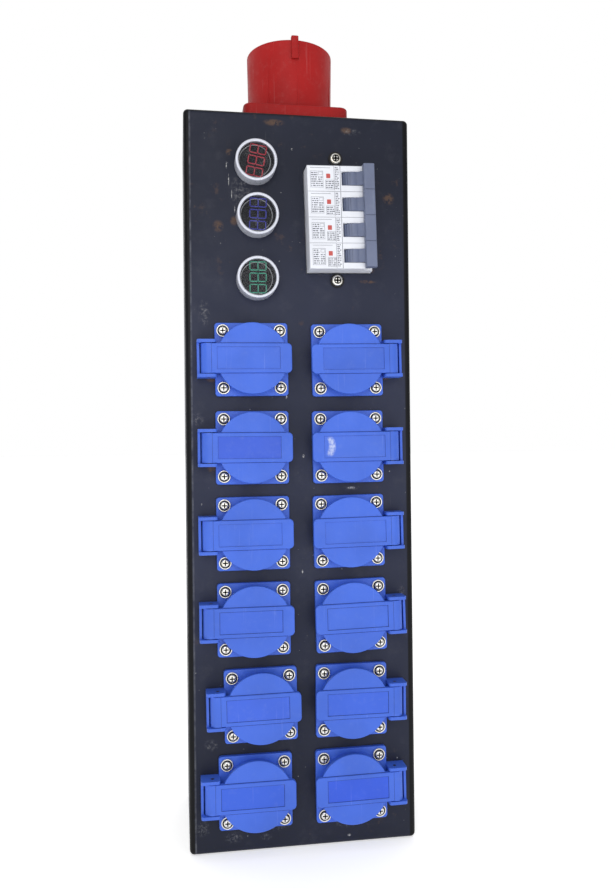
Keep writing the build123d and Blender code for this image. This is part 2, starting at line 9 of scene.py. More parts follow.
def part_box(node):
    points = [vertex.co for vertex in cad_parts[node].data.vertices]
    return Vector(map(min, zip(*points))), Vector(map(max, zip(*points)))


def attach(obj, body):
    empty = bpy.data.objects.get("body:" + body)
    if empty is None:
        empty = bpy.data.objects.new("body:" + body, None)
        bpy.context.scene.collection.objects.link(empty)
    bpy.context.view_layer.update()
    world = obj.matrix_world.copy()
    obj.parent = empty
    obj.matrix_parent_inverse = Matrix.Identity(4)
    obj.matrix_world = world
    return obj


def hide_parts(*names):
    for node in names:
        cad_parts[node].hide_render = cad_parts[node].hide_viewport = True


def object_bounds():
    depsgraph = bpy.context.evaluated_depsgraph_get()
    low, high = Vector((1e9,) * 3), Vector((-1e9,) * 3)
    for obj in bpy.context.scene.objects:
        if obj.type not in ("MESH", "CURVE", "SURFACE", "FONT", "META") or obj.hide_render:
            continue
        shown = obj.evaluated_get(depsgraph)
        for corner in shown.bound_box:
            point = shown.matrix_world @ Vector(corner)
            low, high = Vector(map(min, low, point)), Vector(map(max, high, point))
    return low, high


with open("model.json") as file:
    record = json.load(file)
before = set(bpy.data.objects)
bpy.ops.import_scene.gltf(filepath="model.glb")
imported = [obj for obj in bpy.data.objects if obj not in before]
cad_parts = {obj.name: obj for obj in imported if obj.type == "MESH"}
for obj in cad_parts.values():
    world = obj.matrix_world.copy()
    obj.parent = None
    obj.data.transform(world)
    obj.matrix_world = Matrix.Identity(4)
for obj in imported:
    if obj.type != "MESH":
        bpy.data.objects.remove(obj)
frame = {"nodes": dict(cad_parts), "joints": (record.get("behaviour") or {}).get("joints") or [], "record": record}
cad_low, cad_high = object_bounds()
NODES = frame["nodes"]
JOINTS = {joint["name"]: joint for joint in frame["joints"]}
MM = 0.001
OUT = Vector((0.0, -1.0, 0.0))  # out of the socket panel

# Sizes shared with the CAD part, in millimetres
PIN_U, PIN_H = 29.5, 7.85
TOGGLE_X, TOGGLE_H = 9.0, 6.4
NOSE_H = 14.0
COLLAR_R = 22.5
SPRING_R, SPRING_WIRE_R, SPRING_TURNS, SPRING_HALF_WIDTH = 2.1, 0.36, 8, 3.2


# ---------------------------------------------------------------- places read from the frame
def local_frame(joint, pin_x, pin_h, axis_sign=1.0):
    """Matrix of the local frame that part.py models a hinged piece in: z is out of the panel."""
    pin = Vector(joint["pos_m"])
    y_dir = (Vector(joint["axis"]) * axis_sign).normalized()
    x_dir = y_dir.cross(OUT).normalized()
    centre = pin - x_dir * pin_x * MM - OUT * pin_h * MM
    place = Matrix((x_dir, y_dir, OUT)).transposed().to_4x4()
    place.translation = centre
    return place


def islands(node):
    """Bounding boxes of a CAD node's separate solids, highest first."""
    mesh = NODES[node].data
    bm = bmesh.new()
    bm.from_mesh(mesh)
    bmesh.ops.remove_doubles(bm, verts=bm.verts, dist=1e-6)
    todo, boxes = set(bm.verts), []
    while todo:
        stack = [todo.pop()]
        group = []
        while stack:
            vert = stack.pop()
            group.append(vert.co.copy())
            for edge in vert.link_edges:
                other = edge.other_vert(vert)
                if other in todo:
                    todo.discard(other)
                    stack.append(other)
        low = Vector([min(c[i] for c in group) for i in range(3)])
        high = Vector([max(c[i] for c in group) for i in range(3)])
        boxes.append((low, high))
    bm.free()
    return sorted(boxes, key=lambda b: (-round(b[1].z, 4), b[0].x))


SOCKETS = {
    name[4:-6]: local_frame(joint, PIN_U, PIN_H)
    for name, joint in JOINTS.items()
    if name.startswith("lid_")
}
MODULES = {
    int(name.split("_")[1]): local_frame(joint, TOGGLE_X, TOGGLE_H, -1.0)
    for name, joint in JOINTS.items()
    if name.startswith("toggle_")
}
METERS = []
for low, high in islands("meter_bezels"):
    place = Matrix((Vector((1, 0, 0)), Vector((0, 0, 1)), OUT)).transposed().to_4x4()
    place.translation = Vector(((low.x + high.x) / 2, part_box("front_shell")[0].y, (low.z + high.z) / 2))
    METERS.append(place)


# ---------------------------------------------------------------- mesh helpers
def add_mesh(name, bm, place, body, material, smooth=None, replaces=()):
    """Moves a mesh modelled in local millimetres to its place and lets it ride on a body."""
    bm.transform(place @ Matrix.Scale(MM, 4))
    bmesh.ops.recalc_face_normals(bm, faces=bm.faces)
    mesh = bpy.data.meshes.new(name)
    bm.to_mesh(mesh)
    bm.free()
    piece = bpy.data.objects.new(name, mesh)
    bpy.context.scene.collection.objects.link(piece)
    piece.data.materials.append(material)
    if smooth is not None:
        smooth_by_angle(mesh, smooth)
    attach(piece, body)
    if replaces:
        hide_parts(*replaces)
    return piece


def smooth_by_angle(mesh, degrees):
    """Smooth shading, with sharp edges where two faces meet at more than the angle."""
    bm = bmesh.new()
    bm.from_mesh(mesh)
    for face in bm.faces:
        face.smooth = True
    for edge in bm.edges:
        if len(edge.link_faces) == 2:
            edge.smooth = edge.calc_face_angle(0.0) < math.radians(degrees)
    bm.to_mesh(mesh)
    bm.free()


def add_prism(bm, outline, z0, z1):
    """An outline of (x, y) points extruded from z0 to z1."""
    bottom = [bm.verts.new((x, y, z0)) for x, y in outline]
    top = [bm.verts.new((x, y, z1)) for x, y in outline]
    bm.faces.new(list(reversed(bottom)))
    bm.faces.new(top)
    count = len(outline)
    for i in range(count):
        j = (i + 1) % count
        bm.faces.new((bottom[i], bottom[j], top[j], top[i]))


def add_bar(bm, x0, x1, y0, y1, z0, z1):
    """A thin upright-sided bar between two corners."""
    add_prism(bm, [(x0, y0), (x1, y0), (x1, y1), (x0, y1)], z0, z1)


def rounded_outline(x0, x1, y0, y1, radius, steps=6):
    """Outline of a rectangle with round corners."""
    points = []
    corners = ((x1, y1, 0), (x0, y1, 90), (x0, y0, 180), (x1, y0, 270))
    for x, y, start in corners:
        cx = x - radius if x == x1 else x + radius
        cy = y - radius if y == y1 else y + radius
        for i in range(steps + 1):
            a = math.radians(start + 90 * i / steps)
            points.append((cx + radius * math.cos(a), cy + radius * math.sin(a)))
    return points


def add_lathe(bm, profile, segments=96):
    """A closed profile of (radius, z) points turned round local z."""
    rings = []
    for i in range(segments):
        a = 2 * math.pi * i / segments
        rings.append([bm.verts.new((r * math.cos(a), r * math.sin(a), z)) for r, z in profile])
    for i in range(segments):
        here, after = rings[i], rings[(i + 1) % segments]
        for k in range(len(profile)):
            m = (k + 1) % len(profile)
            bm.faces.new((here[k], after[k], after[m], here[m]))


# ---------------------------------------------------------------- material helpers
class Shader:
    """A principled material whose look is built up from small node steps."""

    def __init__(self, name, metallic=0.0, ior=1.5, specular=0.5):
        self.material = bpy.data.materials.new(name)
        self.material.use_nodes = True
        self.tree = self.material.node_tree
        self.bsdf = self.tree.nodes["Principled BSDF"]
        self.bsdf.inputs["Metallic"].default_value = metallic
        self.bsdf.inputs["IOR"].default_value = ior
        self.bsdf.inputs["Specular IOR Level"].default_value = specular
        self.coords = self.tree.nodes.new("ShaderNodeTexCoord").outputs["Object"]

    def link(self, source, target):
        self.tree.links.new(source, target)

    def noise(self, per_metre, detail=3.0, roughness=0.5, stretch=None, distortion=0.0):
        node = self.tree.nodes.new("ShaderNodeTexNoise")
        node.inputs["Scale"].default_value = per_metre
        node.inputs["Detail"].default_value = detail
        node.inputs["Roughness"].default_value = roughness
        node.inputs["Distortion"].default_value = distortion
        source = self.coords
        if stretch:
            mapping = self.tree.nodes.new("ShaderNodeMapping")
            mapping.inputs["Scale"].default_value = stretch[:3]
            if len(stretch) > 3:
                mapping.inputs["Rotation"].default_value = stretch[3]
            self.link(self.coords, mapping.inputs["Vector"])
            source = mapping.outputs["Vector"]
        self.link(source, node.inputs["Vector"])
        return node.outputs["Fac"]

    def ramp(self, value, low, high, out_low=0.0, out_high=1.0):
        node = self.tree.nodes.new("ShaderNodeMapRange")
        node.interpolation_type = "SMOOTHSTEP"
        node.inputs["From Min"].default_value = low
        node.inputs["From Max"].default_value = high
        node.inputs["To Min"].default_value = out_low
        node.inputs["To Max"].default_value = out_high
        self.link(value, node.inputs["Value"])
        return node.outputs["Result"]

    def math(self, operation, first, second):
        node = self.tree.nodes.new("ShaderNodeMath")
        node.operation = operation
        for socket, value in zip(node.inputs, (first, second)):
            if isinstance(value, (int, float)):
                socket.default_value = value
            else:
                self.link(value, socket)
        return node.outputs["Value"]

    def mix(self, factor, first, second):
        """Colour mix; a factor or colour is a number, a tuple or a socket."""
        node = self.tree.nodes.new("ShaderNodeMix")
        node.data_type = "RGBA"
        for socket, value in ((node.inputs[0], factor), (node.inputs[6], first), (node.inputs[7], second)):
            if isinstance(value, tuple):
                socket.default_value = (*value, 1.0)
            elif isinstance(value, (int, float)):
                socket.default_value = value
            else:
                self.link(value, socket)
        return node.outputs[2]

    def spot(self, x, z, half_x, half_z, soft=0.35):
        """1 inside an ellipse on the panel, 0 outside; all sizes in millimetres."""
        scaled = self.tree.nodes.new("ShaderNodeVectorMath")
        scaled.operation = "MULTIPLY_ADD"
        self.link(self.coords, scaled.inputs[0])
        scaled.inputs[1].default_value = (1 / (half_x * MM), 0.0, 1 / (half_z * MM))
        scaled.inputs[2].default_value = (-x / half_x, 0.0, -z / half_z)
        length = self.tree.nodes.new("ShaderNodeVectorMath")
        length.operation = "LENGTH"
        self.link(scaled.outputs["Vector"], length.inputs[0])
        return self.ramp(length.outputs["Value"], 1.0, soft)

    def spots(self, places):
        total = 0.0
        for place in places:
            total = self.math("MAXIMUM", total, self.spot(*place))
        return total

    def axis(self, index):
        """One object coordinate, in metres."""
        node = self.tree.nodes.new("ShaderNodeSeparateXYZ")
        self.link(self.coords, node.inputs[0])
        return node.outputs[index]

    def colour(self, value):
        self.link(value, self.bsdf.inputs["Base Color"])

    def roughness(self, value):
        self.link(value, self.bsdf.inputs["Roughness"])

    def bump(self, height, distance_mm, strength=1.0):
        node = self.tree.nodes.new("ShaderNodeBump")
        node.inputs["Strength"].default_value = strength
        node.inputs["Distance"].default_value = distance_mm * MM
        self.link(height, node.inputs["Height"])
        self.link(node.outputs["Normal"], self.bsdf.inputs["Normal"])


PLAIN_DUST = (0.45, 0.45, 0.43)


def moulded(
    name, colour, rough=0.45, shade=0.16, dust=0.12, dust_colour=PLAIN_DUST, scuff=None, specular=0.35
):
    """Moulded plastic: slow colour drift, fine grain, faint scratches and a film of dust.

    scuff is (spot, spot to leave out of it): a pale rubbed mark.
    """
    s = Shader(name, specular=specular)
    drift = s.ramp(s.noise(28, 2), 0.3, 0.7)
    dark = tuple(c * (1 - shade) for c in colour)
    light = tuple(min(1.0, c * (1 + shade)) for c in colour)
    base = s.mix(drift, dark, light)
    film = s.ramp(s.noise(260, 5, 0.65), 0.5, 0.8, 0.0, dust)
    base = s.mix(film, base, dust_colour)
    scratch = s.ramp(s.noise(900, 2, 0.5, (1.0, 1.0, 0.02, (0, 0.5, 0.3))), 0.66, 0.74)
    base = s.mix(s.math("MULTIPLY", scratch, 0.12), base, tuple(min(1.0, c + 0.25) for c in colour))
    if scuff:
        mark = s.math("MULTIPLY", s.spot(*scuff[0]), s.math("SUBTRACT", 1.0, s.spot(*scuff[1])))
        mark = s.math("MULTIPLY", mark, s.ramp(s.noise(700, 5, 0.7), 0.3, 0.6))
        base = s.mix(s.math("MULTIPLY", mark, 0.75), base, (0.62, 0.68, 0.85))
    s.colour(base)
    s.roughness(s.ramp(s.noise(90, 4, 0.6), 0.25, 0.75, rough - 0.08, rough + 0.12))
    height = s.math("ADD", s.noise(2600, 2), s.math("MULTIPLY", scratch, -1.5))
    s.bump(height, 0.02)
    return s.material


def metal(name, colour, rough=0.3, tint=(0.62, 0.5, 0.3), tint_amount=0.3, metallic=1.0):
    """Plated or bare metal: patches of tarnish and fine polishing marks."""
    s = Shader(name, metallic=metallic)
    patch = s.ramp(s.noise(220, 4, 0.6), 0.45, 0.75, 0.0, tint_amount)
    s.colour(s.mix(patch, colour, tint))
    s.roughness(s.ramp(s.noise(500, 3), 0.3, 0.7, rough - 0.08, rough + 0.14))
    s.bump(s.noise(3000, 2, 0.5, (1, 1, 0.1)), 0.01)
    return s.material


# Marks on the panel: x and z of the centre and half sizes, in millimetres. A fifth value is the fraction of the
# half sizes inside which the mark is at full strength.
RUST_PATCHES = (
    (-56, 428, 4.5, 5), (-45, 432, 3.5, 4), (64, 451, 5, 5), (-17, 501, 9, 3), (50, 400, 5, 2),
    (-61, 323, 5, 2.5), (60, 325, 5, 2.5), (-61, 262, 5, 3.5), (68, 228, 4, 3), (-48, 479, 3, 3),
    (48, 392, 8, 1.5), (34, 498, 5, 3),
)
DUST_PATCHES = (
    (-71, 296, 5.5, 6, 0.1), (35, 247.5, 8, 2, 0.1), (-49, 10, 8, 5, 0.1), (-18, 17, 10, 6, 0.1),
    (-70, 18, 6, 7, 0.1), (37, 497, 9, 3, 0.1), (-66, 368, 5, 12, 0.1), (-27, 9, 5, 3, 0.1),
    (-64, 74, 6, 5, 0.1), (70, 172, 4, 8, 0.1), (-40, 452, 10, 16, 0.1), (30, 15, 12, 5, 0.1),
)
PALE_CHIPS = (
    (-4.5, 483, 0.7, 0.9), (1.5, 270, 0.8, 1.6), (-10, 311, 0.8, 1.5), (0, 190, 0.6, 1.6),
    (-22, 401, 0.8, 0.6), (-30, 347, 0.7, 0.7), (8, 201, 1.0, 0.6), (31, 5.5, 1.4, 1.0),
    (-57, 338, 0.8, 1.2), (58, 194, 0.6, 0.6), (66, 57, 0.6, 0.9), (-69, 238, 0.6, 0.8),
    (-48.5, 460, 0.35, 5.0), (-46.5, 450, 0.35, 4.0), (-50, 470, 0.35, 3.0), (-44.5, 440, 0.35, 3.0),
    (35, 247.5, 3.4, 0.9), (-14, 405, 0.5, 0.4),
)


def panel_paint():
    """Dark enamel on steel: orange peel, fine scratches, dust, chips and rust smears, with painted shade towards
    the top and bottom ends, on the folds and along the top edge, and a painted highlight just inside the left
    fold.
    """
    s = Shader("panel_enamel", specular=0.18)
    low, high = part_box("front_shell")
    drift = s.ramp(s.noise(9, 3, 0.55), 0.3, 0.7)
    base = s.mix(drift, (0.017, 0.021, 0.042), (0.029, 0.034, 0.064))
    upright = s.axis(2)
    # painted shade: the enamel is darkened towards the top and bottom ends of the panel, as if less light fell
    # there
    ends = s.math("MAXIMUM", s.ramp(upright, 0.33, 0.48), s.ramp(upright, 0.17, 0.0))
    base = s.mix(s.math("MULTIPLY", ends, 0.62), base, (0.008, 0.0095, 0.0165))
    haze = s.ramp(s.noise(70, 6, 0.7), 0.5, 0.78, 0.0, 0.10)
    base = s.mix(haze, base, (0.13, 0.13, 0.15))
    front = s.ramp(s.axis(1), low.y + 1.0 * MM, low.y)
    streak = s.ramp(s.noise(420, 3, 0.6, (1.0, 1.0, 0.035, (0, 0.05, 0))), 0.67, 0.76)
    streak = s.math("MULTIPLY", streak, s.ramp(s.noise(22, 2), 0.5, 0.65))
    base = s.mix(s.math("MULTIPLY", streak, 0.3), base, (0.33, 0.33, 0.34))
    rust = s.math("MULTIPLY", s.ramp(s.noise(95, 5, 0.65), 0.6, 0.7), s.ramp(s.noise(13, 1), 0.52, 0.64))
    smear = s.math("MULTIPLY", s.spots(RUST_PATCHES), s.ramp(s.noise(330, 5, 0.7), 0.36, 0.56))
    rust = s.math("MAXIMUM", s.math("MULTIPLY", rust, 0.4), s.math("MULTIPLY", smear, front))
    base = s.mix(s.math("MULTIPLY", rust, 0.85), base, (0.10, 0.06, 0.042))
    dust = s.math("MULTIPLY", s.spots(DUST_PATCHES), s.ramp(s.noise(420, 5, 0.75), 0.45, 0.72))
    base = s.mix(s.math("MULTIPLY", s.math("MULTIPLY", dust, front), 0.45), base, (0.36, 0.36, 0.37))
    chip = s.math("MULTIPLY", s.spots(PALE_CHIPS), s.ramp(s.noise(900, 3, 0.6), 0.42, 0.52))
    speck = s.math("MULTIPLY", s.ramp(s.noise(520, 2, 0.4), 0.72, 0.78), s.ramp(s.noise(34, 2), 0.48, 0.58))
    speck = s.math("MAXIMUM", s.math("MULTIPLY", speck, 0.6), s.math("MULTIPLY", chip, front))
    base = s.mix(speck, base, (0.5, 0.5, 0.5))
    across = s.axis(0)
    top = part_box("top_plate")[1].z
    # painted shade: near-black bands on the left and right folds and along the top edge, standing in for the shade
    # on the bends
    left_fold_shade = s.ramp(across, low.x + 4.0 * MM, low.x + 3.2 * MM)
    painted_fold_shade = s.math("MAXIMUM", left_fold_shade, s.ramp(across, high.x - 4.8 * MM, high.x - 3.6 * MM))
    painted_fold_shade = s.math("MAXIMUM", painted_fold_shade, s.ramp(upright, top - 2.4 * MM, top - 1.0 * MM))
    near = s.ramp(s.axis(1), low.y + 12 * MM, low.y + 2 * MM)
    base = s.mix(s.math("MULTIPLY", s.math("MULTIPLY", painted_fold_shade, near), 0.93), base, (0.0006, 0.0006, 0.0008))
    # painted highlight: a pale, patchy line just inside the left fold, standing in for light caught where the bend
    # starts
    painted_fold_highlight = s.ramp(across, low.x + 5.0 * MM, low.x + 4.4 * MM)
    painted_fold_highlight = s.math("MULTIPLY", painted_fold_highlight, s.math("SUBTRACT", 1.0, painted_fold_shade))
    painted_fold_highlight = s.math("MULTIPLY", painted_fold_highlight, s.ramp(s.noise(120, 4, 0.6), 0.3, 0.7))
    base = s.mix(s.math("MULTIPLY", s.math("MULTIPLY", painted_fold_highlight, near), 0.3), base, (0.3, 0.31, 0.34))
    rim = s.ramp(s.math("ABSOLUTE", across, 0.0), high.x - 1.8 * MM, high.x - 0.5 * MM)
    rim = s.math("MULTIPLY", rim, s.ramp(s.axis(1), high.y - 2.2 * MM, high.y - 0.6 * MM))
    rim = s.math("MULTIPLY", rim, s.ramp(s.noise(90, 5, 0.7), 0.42, 0.6))
    base = s.mix(s.math("MULTIPLY", rim, 0.7), base, (0.34, 0.34, 0.36))
    s.colour(base)
    s.roughness(s.ramp(s.noise(60, 5, 0.65), 0.3, 0.7, 0.34, 0.5))
    height = s.math("ADD", s.noise(700, 3), s.math("MULTIPLY", s.noise(120, 2), 1.5))
    height = s.math("ADD", height, s.math("MULTIPLY", streak, -1.0))
    s.bump(height, 0.03)
    return s.material


def window_glass():
    s = Shader("smoked_window", ior=1.49)
    s.bsdf.inputs["Alpha"].default_value = 0.28
    film = s.ramp(s.noise(180, 4, 0.6), 0.5, 0.8)
    s.colour(s.mix(film, (0.012, 0.014, 0.022), (0.09, 0.09, 0.1)))
    s.roughness(s.ramp(s.noise(240, 3), 0.3, 0.7, 0.05, 0.16))
    return s.material


def glow(name, colour, strength):
    """Lit display segment, a little uneven from one end to the other."""
    s = Shader(name)
    uneven = s.ramp(s.noise(900, 2), 0.3, 0.7, 0.75, 1.0)
    s.colour(s.mix(uneven, tuple(c * 0.5 for c in colour), colour))
    s.link(s.mix(uneven, tuple(c * 0.6 for c in colour), colour), s.bsdf.inputs["Emission Color"])
    s.bsdf.inputs["Emission Strength"].default_value = strength
    return s.material


ENAMEL = panel_paint()
BLUE_DUST = (0.26, 0.34, 0.6)
BLUE = moulded("blue_socket_plastic", (0.052, 0.14, 0.66), 0.42, shade=0.07, dust=0.07, dust_colour=BLUE_DUST)
RED = moulded("red_inlet_plastic", (0.34, 0.012, 0.012), 0.46, shade=0.12, dust=0.04, specular=0.16)
# painted shade: dark blue for the thin lines laid in the creases of the lids
CREASE_SHADE = moulded("crease_painted_shade", (0.012, 0.032, 0.19), 0.6, shade=0.1, dust=0.05, dust_colour=BLUE_DUST)
# painted shade: near-black for the crevices round the screw heads and their cross recesses
SCREW_SHADE = moulded("screw_shade", (0.012, 0.011, 0.010), 0.7, shade=0.2, dust=0.05)
PIN_METAL = metal("oiled_pin", (0.2, 0.17, 0.12), 0.4)
WHITE = moulded("white_breaker_plastic", (0.78, 0.80, 0.86), 0.42, 0.05, 0.08, (0.5, 0.48, 0.44))
GREY = moulded("toggle_plastic", (0.14, 0.165, 0.255), 0.4, shade=0.1, dust=0.1)
BLACK = moulded("black_plastic", (0.018, 0.018, 0.02), 0.5, shade=0.2, dust=0.05)
RUBBER = moulded("black_rubber", (0.02, 0.02, 0.02), 0.75, shade=0.2, dust=0.08)
VINYL = moulded("wire_vinyl", (0.03, 0.03, 0.032), 0.45, shade=0.2, dust=0.06)
ZINC = metal("zinc_plate", (0.80, 0.79, 0.75), 0.28, tint=(0.72, 0.6, 0.38), tint_amount=0.5)
CHROME = metal("satin_silver", (0.62, 0.64, 0.72), 0.34, (0.5, 0.5, 0.56), 0.12, metallic=0.35)
NICKEL = metal("nickel_plate", (0.74, 0.70, 0.6), 0.25)
BRASS = metal("bare_brass", (0.8, 0.58, 0.25), 0.32, tint=(0.45, 0.28, 0.12))
COPPER = metal("bare_copper", (0.85, 0.45, 0.3), 0.32, tint=(0.4, 0.2, 0.12))
GLASS = window_glass()

SLOT_MATERIALS = {
    "painted_steel": ENAMEL, "zinc_steel": ZINC, "black_rubber": RUBBER, "brass": BRASS, "copper": COPPER,
    "nickel_brass": NICKEL, "meter_chrome": CHROME, "meter_glass": GLASS, "display_black": BLACK,
    "black_moulding": BLACK, "blue_moulding": BLUE, "red_moulding": RED, "white_moulding": WHITE,
    "toggle_grey": GREY, "wire_insulation": VINYL,
}
for entry in frame["record"]["subparts"]:
    node = NODES[entry["node"]]
    node.data.materials.clear()
    node.data.materials.append(SLOT_MATERIALS[entry["material_slot"]])
NODES["lid_hinge_pins"].data.materials[0] = PIN_METAL


# ---------------------------------------------------------------- meters
FIGURE_COLOURS = {1: (0.75, 0.06, 0.09), 2: (0.08, 0.09, 0.62), 3: (0.10, 0.62, 0.42)}
FIGURE_TURNS = {1: -10.0, 2: -2.0, 3: 0.0}
DIGIT_TALL, DIGIT_WIDE, DIGIT_PITCH, SEGMENT = 11.0, 5.6, 7.7, 0.7
DISPLAY_H = 8.4
SILVER_RING = metal("ring_silver", (0.8, 0.82, 0.86), 0.35, (0.6, 0.6, 0.65), 0.2, metallic=0.2)


def segment_outline(length, thick):
    """A display segment with pointed ends, lying along x."""
    half, end = length / 2, length / 2 - thick / 2
    return [(half, 0), (end, thick / 2), (-end, thick / 2), (-half, 0), (-end, -thick / 2), (end, -thick / 2)]


def digit_segments():
    """The seven segments of an eight that lies on its side, as (centre, length, upright)."""
    span, rise = DIGIT_WIDE, DIGIT_TALL / 2
    return [((x, 0), span, True) for x in (-rise, 0, rise)] + [
        ((sx * rise / 2, sy * span / 2), rise, False) for sx in (-1, 1) for sy in (-1, 1)
    ]


def add_meter(number, place):
    glow_material = glow(f"figures_{number}", FIGURE_COLOURS[number], 0.35)
    place = place @ Matrix.Rotation(math.radians(FIGURE_TURNS[number]), 4, "Z")
    bm = bmesh.new()
    for row in (-1, 0, 1):
        for (x, y), length, upright in digit_segments():
            outline = segment_outline(length - 0.35, SEGMENT)
            if upright:
                outline = [(-b, a) for a, b in outline]
            moved = [(a + x, b + y + row * DIGIT_PITCH) for a, b in outline]
            add_prism(bm, moved, DISPLAY_H, DISPLAY_H + 0.06)
    add_mesh(f"meter_figures_{number}", bm, place, "root", glow_material)
    bm = bmesh.new()
    top = DISPLAY_H + 0.05
    add_lathe(bm, [(10.95, top - 0.9), (10.95, top), (10.6, top), (10.5, top - 0.9)])
    bmesh.ops.translate(bm, verts=bm.verts, vec=(-0.9, -0.7, 0.0))
    add_mesh(f"meter_inner_ring_{number}", bm, place, "root", SILVER_RING, 40)


for number, place in enumerate(METERS, start=1):
    add_meter(number, place)


# ---------------------------------------------------------------- breakers
PRINT = moulded("printed_grey", (0.085, 0.09, 0.125), 0.5, shade=0.15, dust=0.1)
FLAG = moulded("flag_red", (0.52, 0.09, 0.08), 0.35, shade=0.15, dust=0.1)
FILM = 0.05


def print_bar(bm, x0, x1, y0, y1):
    add_bar(bm, x0, x1, y0, y1, NOSE_H, NOSE_H + FILM)


def print_lines(bm, x0, x1, y0, y1, rows, seed):
    """Rows of short dashes, the look of small print that spells nothing."""
    pitch = (y1 - y0) / rows
    state = seed
    for row in range(rows):
        y = y1 - (row + 0.5) * pitch
        x = x0
        while x < x1 - 0.5:
            state = (state * 37 + 11) % 101
            dash = min(0.5 + state % 5 * 0.3, x1 - x)
            print_bar(bm, x, x + dash, y - pitch * 0.22, y + pitch * 0.22)
            x += dash + 0.3 + state % 3 * 0.2


def print_frame(bm, x0, x1, y0, y1, line):
    """A thin printed rectangle."""
    print_bar(bm, x0, x1, y1 - line, y1)
    print_bar(bm, x0, x1, y0, y0 + line)
    print_bar(bm, x0, x0 + line, y0, y1)
    print_bar(bm, x1 - line, x1, y0, y1)


def add_breaker_print(number, place):
    bm = bmesh.new()
    print_frame(bm, -20.4, -11.6, -6.3, 4.9, 0.16)
    print_lines(bm, -19.8, -15.4, -5.8, 4.4, 7, number + 3)
    print_lines(bm, -14.9, -12.0, -5.8, 1.4, 5, number + 8)
    print_frame(bm, -14.8, -12.1, 2.2, 4.3, 0.14)
    print_lines(bm, -9.6, -4.4, -7.0, -1.6, 4, number + 21)
    print_frame(bm, -9.9, -4.1, -7.4, -1.2, 0.16)
    print_lines(bm, -3.3, -0.7, -7.6, 8.0, 13, number + 33)
    print_bar(bm, -20.4, -6.5, 7.0, 7.2)
    print_bar(bm, -4.0, -3.8, -8.2, 8.4)
    print_bar(bm, 0.2, 0.5, -8.6, 8.6)
    print_bar(bm, -22.3, 22.0, 8.55, 8.75)
    add_mesh(f"breaker_print_{number}", bm, place, "root", PRINT)
    bm = bmesh.new()
    add_prism(bm, rounded_outline(-9.4, -6.6, 0.0, 3.1, 0.3, 4), NOSE_H - 0.2, NOSE_H + FILM)
    add_mesh(f"breaker_flag_{number}", bm, place, "root", FLAG)


for number, place in MODULES.items():
    add_breaker_print(number, place)


# ---------------------------------------------------------------- sockets
LABEL_SIZE = (-18.3, 23.7, -7.2, 7.2)
LABEL_Z, DISC_TOP, BAR_TOP, LID_BAR_V = 12.7, 12.3, 13.1, 10.0
RECESS = (-18.6, 24.0, -7.5, 7.5)
PANEL_AXES = Matrix((Vector((1, 0, 0)), Vector((0, 0, 1)), OUT)).transposed().to_4x4()
LABEL_TONES = {
    "left_2": (0.038, 0.105, 0.62), "left_5": (0.045, 0.125, 0.68), "right_5": (0.042, 0.125, 0.68),
    "left_6": (0.036, 0.115, 0.66), "right_6": (0.030, 0.10, 0.68), "right_1": (0.046, 0.125, 0.60),
    "right_2": (0.056, 0.145, 0.66), "left_4": (0.048, 0.135, 0.68),
}


def add_label(name, place, tone):
    """The plain insert in the recess of a lid; one of them is rubbed pale near the tab."""
    scuff = None
    if name == "right_2":
        x, z = (place @ (Vector((-14.5, 0.4, 0)) * MM)).xz / MM
        scuff = (x, z, 4.4, 7.6, 0.6), (x - 4.2, z + 0.5, 4.4, 8.0, 0.6)
    material = moulded(f"label_{name}", tone, 0.38, 0.05, 0.1, BLUE_DUST, scuff)
    bm = bmesh.new()
    add_prism(bm, rounded_outline(*LABEL_SIZE, 0.4, 3), LABEL_Z - 0.05, LABEL_Z + 0.1)
    add_mesh(f"lid_label_{name}", bm, place, f"lid_{name}", material)


for name, tone in LABEL_TONES.items():
    add_label(name, SOCKETS[name], tone)


def add_creases(name, place):
    """Painted shade in the creases of a lid: dark lines round its recess, along the bar and by the hinge barrel,
    wider on the lower three rows.
    """
    x0, x1, y0, y1 = RECESS
    # the painted shade lines are wider on rows 4 to 6
    line = 0.3 if int(name[-1]) > 3 else 0.12
    bm = bmesh.new()
    for v0, v1 in ((y0, y0 + line), (y1 - line, y1)):
        add_bar(bm, x0, x1, v0, v1, LABEL_Z - 0.05, LABEL_Z + 0.12)
    for u0, u1 in ((x0, x0 + line), (x1 - line, x1)):
        add_bar(bm, u0, u1, y0, y1, LABEL_Z - 0.05, LABEL_Z + 0.12)
    for v0, v1 in ((-LID_BAR_V - 0.35, -LID_BAR_V), (LID_BAR_V, LID_BAR_V + 0.35)):
        add_bar(bm, -21.6, 21.6, v0, v1, DISC_TOP - 0.1, DISC_TOP + 0.06)
    add_bar(bm, 27.6, 27.8, y0 - 2, y1 + 2, BAR_TOP - 0.1, BAR_TOP + 0.02)
    add_mesh(f"lid_creases_{name}", bm, place, f"lid_{name}", CREASE_SHADE)


for name, place in SOCKETS.items():
    add_creases(name, place)


